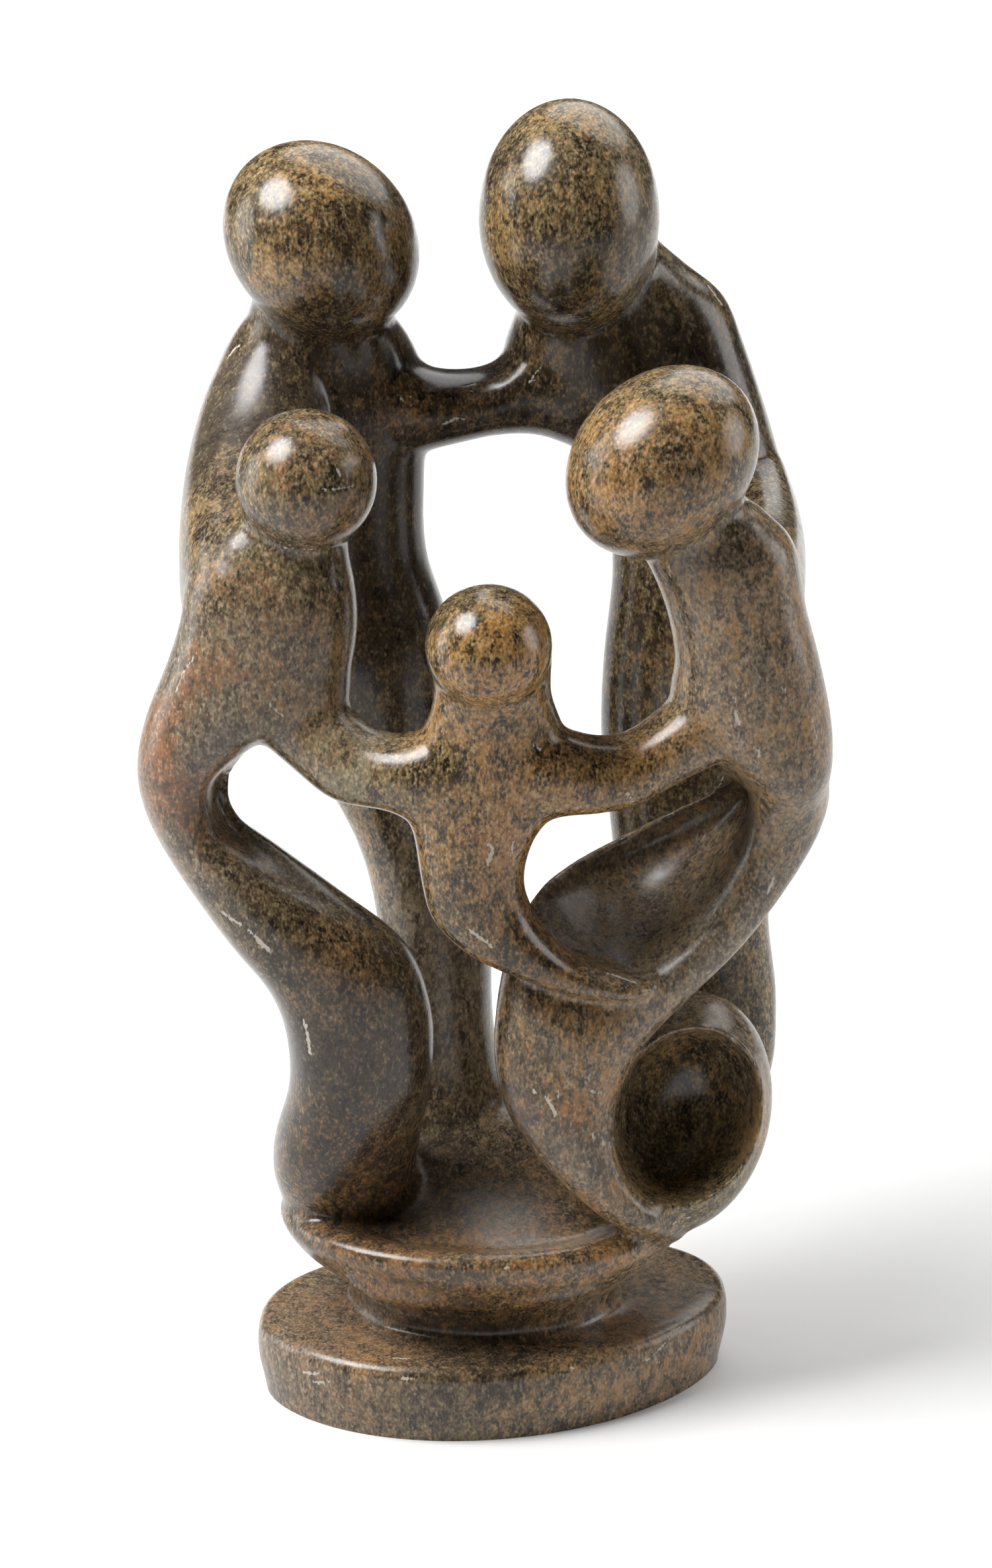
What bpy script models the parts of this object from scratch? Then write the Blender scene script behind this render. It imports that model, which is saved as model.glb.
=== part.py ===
"""Stone figural group: five smooth figures in a ring, arms joined, on a dish and a plinth.

The whole work is carved from one block, so it is one solid. The front of the group faces -Y,
and the origin is at the middle of the plinth's underside.
"""

import math

import bmesh
import bpy
from mathutils import Matrix, Vector

# Driving dimensions, in metres
GROUP_HEIGHT = 0.420  # from the plinth's top to the tallest crown
PLINTH_LENGTH = 0.168
PLINTH_DEPTH = 0.110
PLINTH_THICKNESS = 0.0285
PLINTH_EDGE = 0.005  # rounding of the plinth's top edge
PLINTH_TAPER = 0.003  # how far the underside draws in
PLINTH_SHIFT = -0.009  # the plinth's middle lies this far in front of the figures'
PLINTH_SKEW = 0.14  # its right end lies further back than its left

# Resolution of the carving, in metres
GRAIN = 0.0020  # size of a voxel when the forms are fused
POLISH = 0.0030  # how far the polishing rounds a crease
FACETS = 9400  # triangles of the finished solid

# The forms below are in hundredths of the group's height, measured from the middle of the
# plinth's top: x to the viewer's right, y away from the viewer, z up.
SHARE = GROUP_HEIGHT / 100

# name: centre, half sizes, lean in degrees about y
HEADS = {
    "left_parent": ((-13.8, 6.5, 89.8), (7.3, 7.7, 8.5), -45),
    "right_parent": ((6.0, 7.0, 91.6), (7.3, 7.9, 9.4), 0),
    "left_child": ((-14.6, -9.0, 74.3), (5.6, 5.6, 5.6), 0),
    "right_child": ((13.0, -10.5, 76.2), (6.7, 7.2, 8.3), 45),
    "small_child": ((-0.4, -15.0, 62.7), (5.0, 5.2, 4.8), 0),
}

# Each form is swept through sections, from one end to the other:
# left edge x, z; right edge x, z; left edge y, right edge y; half thickness; rim; hollow.
# The hollow, 0 to 1, scoops the front between the form's open edge and the rim, and the rim
# is a place across the section from -1 at the left edge to 1 at the right.
FORMS = {
    "left_parent_body": (
        (-19.8, 83.4, -8.2, 83.2, 8.5, 8.5, 4.8),
        (-22.0, 79.8, -6.2, 79.6, 10.0, 10.0, 5.4),
        (-23.7, 75.2, -5.4, 75.0, 10.0, 10.0, 5.8),
        (-25.0, 69.5, -5.7, 69.5, 10.0, 10.0, 5.8),
        (-24.6, 63.0, -5.6, 63.0, 10.0, 10.0, 5.6),
        (-22.4, 57.0, -3.9, 57.0, 10.0, 10.0, 5.4),
        (-18.8, 49.5, -3.1, 49.5, 10.0, 10.0, 5.2),
        (-13.9, 42.0, -2.4, 42.0, 10.0, 10.0, 5.0),
        (-11.1, 36.0, -1.2, 36.0, 9.5, 9.5, 5.0),
        (-9.7, 29.0, -0.3, 29.0, 9.0, 8.6, 5.0),
        (-9.1, 22.0, -0.1, 22.0, 8.4, 8.0, 5.0),
        (-9.6, 16.5, 0.8, 16.5, 7.6, 7.4, 5.2),
        (-12.0, 12.0, 3.0, 12.5, 6.0, 6.0, 5.4),
        (-12.0, 9.5, 3.0, 9.5, 4.5, 4.5, 5.0),
    ),
    "right_parent_body": (
        (2.4, 84.5, 13.2, 89.0, 9.6, 9.6, 4.6),
        (1.2, 81.5, 15.6, 86.8, 10.4, 10.4, 5.2),
        (0.6, 78.0, 18.8, 84.0, 11.0, 11.0, 5.6),
        (2.4, 74.6, 20.6, 79.7, 11.0, 11.0, 5.7),
        (7.0, 71.2, 22.6, 73.8, 11.0, 11.0, 5.6),
        (9.2, 67.0, 24.0, 68.6, 11.0, 11.0, 5.4),
        (9.8, 61.0, 24.9, 62.0, 10.2, 10.2, 5.2),
        (9.1, 53.4, 24.9, 53.4, 10.0, 10.0, 5.0),
        (9.0, 46.0, 24.5, 46.0, 10.0, 10.0, 4.9),
        (9.9, 38.0, 23.8, 38.0, 10.0, 10.0, 4.8),
        (10.6, 31.0, 23.4, 30.5, 9.5, 9.5, 4.7),
        (11.2, 23.0, 24.2, 23.0, 8.8, 8.8, 4.8),
        (10.6, 16.0, 23.4, 16.0, 7.4, 7.4, 5.0),
        (7.6, 11.0, 18.4, 11.0, 5.0, 5.0, 4.0),
    ),
    "parents_bridge": (
        (-13.0, 83.0, -13.0, 70.5, 9.5, 9.5, 4.4),
        (-8.4, 81.0, -8.4, 70.5, 9.5, 9.5, 4.2),
        (-5.6, 78.6, -5.6, 71.6, 9.5, 9.5, 4.0),
        (-2.6, 78.2, -2.6, 72.4, 9.5, 9.5, 3.8),
        (0.0, 78.8, 0.6, 73.0, 9.7, 9.7, 3.8),
        (2.6, 80.8, 4.0, 72.8, 10.0, 10.0, 4.2),
        (7.0, 82.0, 8.0, 71.0, 10.5, 10.5, 4.6),
    ),
    "left_child_body": (
        (-22.6, 68.8, -11.4, 68.6, -8.0, -8.5, 4.4),
        (-24.2, 66.2, -10.9, 66.2, -8.0, -8.5, 4.8),
        (-24.8, 62.8, -10.7, 62.8, -8.0, -8.5, 5.0),
        (-26.0, 58.8, -11.2, 58.8, -8.0, -8.5, 5.0),
        (-27.4, 55.4, -12.0, 55.4, -8.0, -8.5, 5.0),
        (-28.3, 52.2, -17.4, 53.6, -8.0, -8.0, 4.8, 0.9, 0.0),
        (-28.5, 48.8, -21.0, 49.6, -8.0, -7.0, 4.8, 0.4, 0.8),
        (-27.4, 45.2, -20.7, 45.6, -8.5, -6.5, 4.8, 0.2, 0.9),
        (-25.0, 40.9, -17.5, 43.0, -9.0, -6.5, 5.0, 0.1, 0.4),
        (-21.4, 35.6, -12.3, 38.9, -9.5, -6.5, 5.2, 0.2, 0.1),
        (-18.1, 31.2, -7.3, 34.4, -9.5, -6.0, 5.2, 0.4, 0.0),
        (-16.7, 27.0, -5.4, 28.8, -9.3, -5.5, 5.2, 0.5, 0.0),
        (-16.6, 22.0, -5.4, 22.8, -8.4, -4.8, 5.2, 0.5, 0.0),
        (-17.9, 17.0, -6.2, 17.6, -6.8, -3.2, 5.2, 0.5, 0.0),
        (-18.3, 12.9, -6.8, 12.6, -4.8, -1.6, 5.0, 0.5, 0.0),
        (-17.6, 9.2, -6.0, 8.5, -3.0, -0.5, 4.6, 0.5, 0.0),
    ),
    "left_arms": (
        (-15.0, 57.8, -19.6, 53.8, -8.0, -8.0, 4.2),
        (-12.2, 56.4, -16.4, 51.2, -9.2, -9.2, 4.0),
        (-10.2, 54.8, -12.8, 48.7, -10.6, -10.6, 3.7),
        (-7.9, 54.2, -8.6, 48.3, -12.0, -12.0, 3.5),
        (-5.6, 54.8, -6.2, 47.4, -12.6, -12.6, 3.5),
        (-3.0, 55.6, -3.0, 46.8, -13.0, -13.0, 3.5),
    ),
    "small_child_body": (
        (-5.1, 61.5, 4.6, 61.5, -13.4, -13.4, 4.4),
        (-4.7, 58.2, 4.5, 58.2, -13.0, -13.0, 3.9),
        (-5.4, 55.4, 5.4, 55.4, -12.8, -12.8, 3.7),
        (-6.9, 52.0, 6.2, 52.0, -13.0, -13.0, 3.6),
        (-7.0, 49.0, 5.2, 49.0, -13.0, -13.0, 3.6),
        (-6.3, 46.0, 3.2, 46.0, -13.0, -13.0, 3.6),
        (-5.8, 42.6, 2.4, 42.6, -13.0, -13.0, 3.6),
        (-5.0, 39.5, 3.1, 39.9, -13.0, -13.0, 3.5),
        (-2.6, 36.8, 4.5, 37.8, -13.0, -13.0, 3.3),
        (0.9, 34.8, 6.6, 35.7, -13.0, -12.6, 3.0),
        (5.0, 33.0, 9.7, 34.2, -12.4, -12.0, 2.8),
        (9.0, 32.0, 12.4, 33.4, -12.0, -11.4, 2.6),
    ),
    "right_arms": (
        (3.0, 56.0, 3.0, 47.2, -13.0, -13.0, 3.5),
        (5.6, 55.0, 5.3, 48.0, -12.8, -12.8, 3.5),
        (8.2, 54.1, 8.5, 48.1, -12.2, -12.2, 3.4),
        (10.5, 54.1, 11.7, 48.6, -11.2, -11.2, 3.6),
        (13.0, 55.6, 15.3, 50.4, -10.2, -10.2, 3.9),
        (15.6, 58.0, 19.0, 52.0, -9.4, -9.4, 4.3),
    ),
    "right_child_body": (
        (11.6, 68.6, 21.4, 71.6, -9.6, -9.6, 4.2),
        (12.8, 66.0, 23.5, 69.2, -9.2, -9.2, 4.9),
        (13.7, 63.2, 24.4, 64.6, -9.0, -9.0, 5.2),
        (14.3, 59.6, 25.7, 59.8, -9.0, -9.0, 5.4),
        (14.0, 56.6, 26.7, 55.2, -9.0, -9.0, 5.4, -0.5, 0.0),
        (16.0, 53.4, 27.0, 52.0, -8.6, -9.0, 5.4, -0.4, 0.0),
        (18.2, 50.6, 26.8, 49.4, -7.6, -9.0, 5.4, 0.0, 0.3),
        (18.2, 47.0, 25.9, 46.4, -4.0, -9.0, 5.2, 0.4, 0.8),
        (15.6, 44.2, 23.8, 42.4, -1.0, -9.8, 4.8, 0.7, 1.0),
        (11.3, 41.3, 19.6, 36.4, 0.0, -11.0, 4.4, 0.75, 1.0),
        (7.1, 39.6, 15.2, 31.5, -1.4, -11.6, 4.3, 0.7, 0.95),
        (3.9, 38.5, 12.7, 28.2, -4.6, -11.4, 4.4, 0.5, 0.6),
        (1.4, 35.2, 10.9, 24.8, -7.6, -11.0, 4.4, 0.2, 0.0),
        (0.3, 30.4, 10.0, 22.0, -8.4, -11.2, 4.2, 0.0, 0.0),
        (0.1, 25.6, 10.0, 19.5, -9.2, -11.8, 4.0, 0.0, 0.0),
        (1.2, 21.2, 10.7, 16.8, -9.8, -12.0, 3.8, 0.0, 0.0),
        (4.0, 17.0, 12.2, 14.4, -9.6, -11.6, 3.8, 0.0, 0.0),
        (7.6, 12.9, 15.0, 11.4, -8.6, -9.8, 4.0, 0.0, 0.0),
        (10.4, 9.6, 15.8, 8.8, -6.4, -6.6, 3.4, 0.0, 0.0),
    ),
    "left_side_link": (
        (-24.6, 73.0, -10.0, 73.0, 11.0, 11.0, 8.0),
        (-25.1, 71.2, -12.0, 71.2, 6.0, 6.0, 7.4),
        (-25.1, 68.8, -14.0, 68.8, 1.0, 1.0, 6.8),
        (-24.9, 66.2, -15.0, 66.2, -4.0, -4.0, 6.2),
        (-24.6, 63.6, -15.0, 63.6, -8.5, -8.5, 5.8),
    ),
    "right_side_link": (
        (16.6, 68.4, 24.2, 68.4, 10.5, 10.5, 6.4),
        (18.2, 67.6, 24.7, 67.2, 5.0, 5.0, 5.6),
        (18.6, 66.2, 24.8, 65.8, -1.0, -1.0, 5.0),
        (16.4, 65.0, 24.3, 64.6, -8.0, -8.0, 5.2),
    ),
    "dish_floor": (
        (-12.0, 5.6, 9.0, 5.6, -10.5, -10.5, 1.6),
        (-13.6, 6.4, 11.0, 6.4, -7.5, -7.5, 2.6),
        (-13.4, 7.6, 12.0, 7.6, -3.0, -3.0, 4.2),
        (-12.4, 9.6, 12.0, 9.6, 3.0, 3.0, 5.4),
        (-10.0, 10.4, 12.0, 10.4, 8.0, 8.0, 5.2),
    ),
}
OPEN_EDGE = {"left_child_body": 1, "right_child_body": -1}  # which edge a hollow opens to
SCOOP_DEPTH = 0.55  # of the half thickness
CORNER = 2.25  # a section's corner: 2 is an ellipse, more is squarer

# Centre, half sizes, lean about y, turn about z
CURL = ((15.5, -4.2, 18.3), (7.5, 8.2, 10.6), 12, 0)  # the curl at the lower right
CUP = ((15.8, -10.0, 20.4), (5.95, 7.6, 7.4), 16, -8)  # the cup hollowed into the curl

RIM = (0.32, 0.4)  # the cup's rim is a roll of this radius at the right and at the left

# The dish and its foot: radius along x, radius along y, z
DISH_CENTRE = (-0.8, -2.0)
DISH = (
    (11.8, 8.8, -1.5),
    (11.3, 8.3, 0.8),
    (11.6, 8.6, 2.4),
    (13.4, 9.8, 4.0),
    (15.8, 11.4, 6.0),
    (17.3, 12.6, 8.6),
    (16.6, 12.0, 9.9),
    (14.6, 10.2, 8.6),
    (8.0, 6.0, 6.6),
)


def catmull_rom(rows, steps):
    """The rows and what lies between them, on a smooth curve through every row."""
    padded = [rows[0], *rows, rows[-1]]
    made = []
    for i in range(1, len(padded) - 2):
        before, start, end, after = padded[i - 1 : i + 3]
        for step in range(steps):
            t = step / steps
            made.append(
                [
                    0.5 * (2 * b + (c - a) * t + (2 * a - 5 * b + 4 * c - d) * t * t
                           + (3 * b - a - 3 * c + d) * t**3)
                    for a, b, c, d in zip(before, start, end, after)
                ]
            )
    made.append(list(rows[-1]))
    return made


def place(x, y, z):
    return Vector((x, y, z)) * SHARE + Vector((0, 0, PLINTH_THICKNESS))


def skin(bm, rings):
    """Faces between rings of points, closed at both ends."""
    loops = [[bm.verts.new(p) for p in ring] for ring in rings]
    count = len(loops[0])
    for low, high in zip(loops, loops[1:]):
        for i in range(count):
            j = (i + 1) % count
            bm.faces.new((low[i], low[j], high[j], high[i]))
    bm.faces.new(list(reversed(loops[0])))
    bm.faces.new(loops[-1])


def signed_power(value, power):
    return math.copysign(abs(value) ** power, value)


def section(row, opens, around):
    """Points round one section, as (across, away) with across from -1 to 1."""
    deep, rim, hollow = row[6], row[7], row[8]
    reach = -deep * max(1 - abs(rim) ** CORNER, 0) ** (1 / CORNER)
    points = []
    for k in range(around):
        angle = 2 * math.pi * k / around
        across = signed_power(math.cos(angle), 2 / CORNER)
        away = deep * signed_power(math.sin(angle), 2 / CORNER)
        share = (across - opens) / (rim - opens)
        if away < 0 and 0 <= share <= 1:
            scooped = reach * share + SCOOP_DEPTH * deep * 6.75 * share * (1 - share) ** 2
            away += hollow * (max(away, scooped) - away)
        points.append((across, away))
    return points


def sweep(bm, rows, opens=-1, around=48, steps=5):
    """A body through the rows, with domed ends."""
    rows = catmull_rom([(*row, 0.0, 0.0)[:9] for row in rows], steps)
    lefts = [place(row[0], row[4], row[1]) for row in rows]
    rights = [place(row[2], row[5], row[3]) for row in rows]
    middles = [(a + b) / 2 for a, b in zip(lefts, rights)]
    rings = []
    dome = (0.98, 0.85, 0.62, 0.3)
    for i, row in enumerate(rows):
        wide = (rights[i] - lefts[i]) / 2
        axis = wide.normalized()
        along = (middles[min(i + 1, len(rows) - 1)] - middles[max(i - 1, 0)]).normalized()
        deep = Vector((0, 1, 0)) if abs(along.y) < 0.75 else Vector((0, 0, 1))
        deep = (deep - axis * deep.dot(axis)).normalized() * SHARE
        outline = section(row, opens, around)

        def ring(scale, shift):
            return [middles[i] + shift * along + scale * (u * wide + v * deep) for u, v in outline]

        bulge = min(wide.length, row[6] * SHARE)
        if i == 0:
            rings += [ring(s, -bulge * math.sqrt(1 - s * s)) for s in reversed(dome)]
        rings.append(ring(1, 0))
        if i == len(rows) - 1:
            rings += [ring(s, bulge * math.sqrt(1 - s * s)) for s in dome]
    skin(bm, rings)


def ball_space(centre, halves, lean=0, turn=0):
    """Takes the unit ball to the ellipsoid."""
    turned = Matrix.Rotation(math.radians(turn), 4, "Z") @ Matrix.Rotation(math.radians(lean), 4, "Y")
    size = Matrix.Diagonal((*(half * SHARE for half in halves), 1))
    return Matrix.Translation(place(*centre)) @ turned @ size


def ellipsoid(bm, *shape):
    bmesh.ops.create_uvsphere(bm, u_segments=40, v_segments=24, radius=1, matrix=ball_space(*shape))


def cup_rim(around=72):
    """Where the cup breaks through the curl, as (point, outward normal), found by halving."""
    cup_space, curl_space = ball_space(*CUP), ball_space(*CURL).inverted()
    rim = []
    for k in range(around):
        angle = 2 * math.pi * k / around
        spoke = Vector((math.cos(angle), 0, math.sin(angle)))
        near, far = 0.0, math.pi * 0.7
        for _ in range(24):
            middle = (near + far) / 2
            spot = Vector((0, -math.cos(middle), 0)) + spoke * math.sin(middle)
            if (curl_space @ (cup_space @ spot)).length > 1:
                near = middle
            else:
                far = middle
        normal = (cup_space.inverted().transposed().to_3x3() @ spot).normalized()
        rim.append((cup_space @ spot, normal))
    return rim


def roll(bm, around=12):
    """The rolled rim of the cup, a closed tube along it."""
    rim = cup_rim()
    count = len(rim)
    rings = []
    for k, (point, normal) in enumerate(rim):
        along = (rim[(k + 1) % count][0] - rim[k - 1][0]).normalized()
        side = along.cross(normal).normalized()
        right = 0.5 + 0.5 * math.cos(2 * math.pi * k / count)
        radius = (RIM[0] * right + RIM[1] * (1 - right)) * SHARE
        middle = point + normal * radius * 0.7
        ring = []
        for i in range(around):
            turn = 2 * math.pi * i / around
            ring.append(bm.verts.new(middle + radius * (math.cos(turn) * normal + math.sin(turn) * side)))
        rings.append(ring)
    for low, high in zip(rings, rings[1:] + rings[:1]):
        for i in range(around):
            j = (i + 1) % around
            bm.faces.new((low[i], low[j], high[j], high[i]))


def dish(bm, around=48):
    rings = []
    for wide, deep, z in catmull_rom(DISH, 4):
        ring = []
        for k in range(around):
            angle = 2 * math.pi * k / around
            x = DISH_CENTRE[0] + wide * math.cos(angle)
            y = DISH_CENTRE[1] + deep * math.sin(angle)
            ring.append(place(x, y, z))
        rings.append(ring)
    skin(bm, rings)


def plinth_outline(inset, around=72):
    """The plinth seen from above: blunt at the back, drawn towards a point at the front."""
    points = []
    for k in range(around):
        angle = 2 * math.pi * k / around
        x = (PLINTH_LENGTH / 2 - inset) * math.cos(angle)
        y = signed_power(math.sin(angle), 1.2 if math.sin(angle) < 0 else 0.8)
        points.append((x, y * (PLINTH_DEPTH / 2 - inset) + PLINTH_SKEW * x + PLINTH_SHIFT))
    return points


def plinth(bm):
    top = PLINTH_THICKNESS
    levels = [(PLINTH_TAPER, -PLINTH_EDGE), (PLINTH_TAPER, 0.0), (0.0, top / 2), (0.0, top - PLINTH_EDGE)]
    for step in range(1, 4):
        angle = step * math.pi / 6
        levels.append((PLINTH_EDGE * (1 - math.cos(angle)), top - PLINTH_EDGE * (1 - math.sin(angle))))
    skin(bm, [[Vector((x, y, z)) for x, y in plinth_outline(inset)] for inset, z in levels])


def collection(name):
    found = bpy.data.collections.get(name)
    if found is None:
        found = bpy.data.collections.new(name)
        bpy.context.scene.collection.children.link(found)
    return found


def solid(name, fill, into):
    mesh = bpy.data.meshes.new(name)
    bm = bmesh.new()
    fill(bm)
    bmesh.ops.recalc_face_normals(bm, faces=bm.faces)
    bm.to_mesh(mesh)
    bm.free()
    made = bpy.data.objects.new(name, mesh)
    collection(into).objects.link(made)
    return made


def figures(bm):
    for centre, halves, lean in HEADS.values():
        ellipsoid(bm, centre, halves, lean)
    for name, rows in FORMS.items():
        sweep(bm, rows, OPEN_EDGE.get(name, -1))
    ellipsoid(bm, *CURL)
    roll(bm)
    dish(bm)
    plinth(bm)


def cup(bm):
    ellipsoid(bm, *CUP)


def below_the_floor(bm):
    size = PLINTH_LENGTH * 2
    bmesh.ops.create_cube(bm, size=size, matrix=Matrix.Translation((0, 0, -size / 2)))


def cutter(fill):
    made = solid(fill.__name__, fill, "cutters")
    made.hide_render = True
    made.display_type = "WIRE"
    return made


def stone():
    material = bpy.data.materials.new("polished_serpentine")
    material.use_nodes = True
    shader = material.node_tree.nodes["Principled BSDF"]
    shader.inputs["Base Color"].default_value = (0.13, 0.095, 0.06, 1)
    shader.inputs["Roughness"].default_value = 0.3
    shader.inputs["Metallic"].default_value = 0.0
    return material


def modifier(owner, name, kind, **settings):
    made = owner.modifiers.new(name, kind)
    for key, value in settings.items():
        setattr(made, key, value)
    return made


def main():
    for old in list(bpy.data.objects):
        bpy.data.objects.remove(old)
    group = solid("stone_family_group", figures, "stone_figural_group")
    group.data.materials.append(stone())
    group.data.shade_smooth()
    modifier(group, "fuse", "REMESH", mode="VOXEL", voxel_size=GRAIN)
    modifier(group, "hollow", "BOOLEAN", operation="DIFFERENCE", object=cutter(cup))
    modifier(group, "reskin", "REMESH", mode="VOXEL", voxel_size=GRAIN)
    modifier(group, "polish", "SMOOTH", factor=0.5, iterations=round(4 * (POLISH / GRAIN) ** 2))
    fine = group.evaluated_get(bpy.context.evaluated_depsgraph_get()).data
    modifier(group, "facets", "DECIMATE", ratio=FACETS / (2 * len(fine.polygons)))
    modifier(group, "flat", "BOOLEAN", operation="DIFFERENCE", object=cutter(below_the_floor))


main()
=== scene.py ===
"""Stone figural group, dressed: five smooth figures in a ring, carved from one block.

The carved mesh is made again from the solid's own named forms, at a finer grain. The links at
the sides, the right child's hollow and the dish have softer shapes here than in the solid. Then
the mesh gets its wear. The stone's speckle, tones and polish come from nodes, and one of the
tones is painted shade.
"""

import math

import bmesh
import bpy
import numpy as np
from mathutils import Matrix, Vector
from mathutils.bvhtree import BVHTree


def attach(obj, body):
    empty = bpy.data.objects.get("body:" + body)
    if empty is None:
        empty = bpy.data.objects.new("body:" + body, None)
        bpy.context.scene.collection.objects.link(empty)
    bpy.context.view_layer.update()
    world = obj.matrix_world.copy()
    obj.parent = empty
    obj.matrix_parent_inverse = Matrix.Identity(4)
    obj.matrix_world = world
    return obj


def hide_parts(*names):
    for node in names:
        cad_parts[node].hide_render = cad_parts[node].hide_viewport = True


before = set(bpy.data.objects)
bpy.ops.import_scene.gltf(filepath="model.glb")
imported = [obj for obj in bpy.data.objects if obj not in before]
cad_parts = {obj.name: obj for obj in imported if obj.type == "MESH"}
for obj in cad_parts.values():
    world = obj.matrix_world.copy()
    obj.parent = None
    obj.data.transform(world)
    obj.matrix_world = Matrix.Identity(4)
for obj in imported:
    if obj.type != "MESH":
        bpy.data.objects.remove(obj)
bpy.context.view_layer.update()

# Driving dimensions, in metres
GROUP_HEIGHT = 0.420  # from the plinth's top to the tallest crown
PLINTH_LENGTH = 0.168
PLINTH_DEPTH = 0.110
PLINTH_THICKNESS = 0.0285
PLINTH_EDGE = 0.005  # rounding of the plinth's top edge
PLINTH_TAPER = 0.003  # how far the underside draws in
PLINTH_SHIFT = -0.009  # the plinth's middle lies this far in front of the figures'
PLINTH_SKEW = 0.14  # its right end lies further back than its left
PLINTH_CORNERS = (1.2, 0.8)  # its outline's powers: pointed in front, blunt behind

# Resolution of the carving, in metres
GRAIN = 0.0014  # size of a voxel when the forms are fused
POLISH = 0.0030  # how far the polishing rounds a crease
FACETS = 150000  # triangles of the finished mesh, before its wear

# The forms below are in hundredths of the group's height, measured from the middle of the
# plinth's top: x to the viewer's right, y away from the viewer, z up.
SHARE = GROUP_HEIGHT / 100

# name: centre, half sizes, lean in degrees about y
HEADS = {
    "left_parent": ((-13.8, 6.5, 89.8), (7.3, 7.7, 8.5), -45),
    "right_parent": ((6.0, 7.0, 91.6), (7.3, 7.9, 9.4), 0),
    "left_child": ((-14.6, -9.0, 74.3), (5.6, 5.6, 5.6), 0),
    "right_child": ((13.0, -10.5, 76.2), (6.7, 7.2, 8.3), 45),
    "small_child": ((-0.4, -15.0, 62.7), (5.0, 5.2, 4.8), 0),
}

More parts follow.
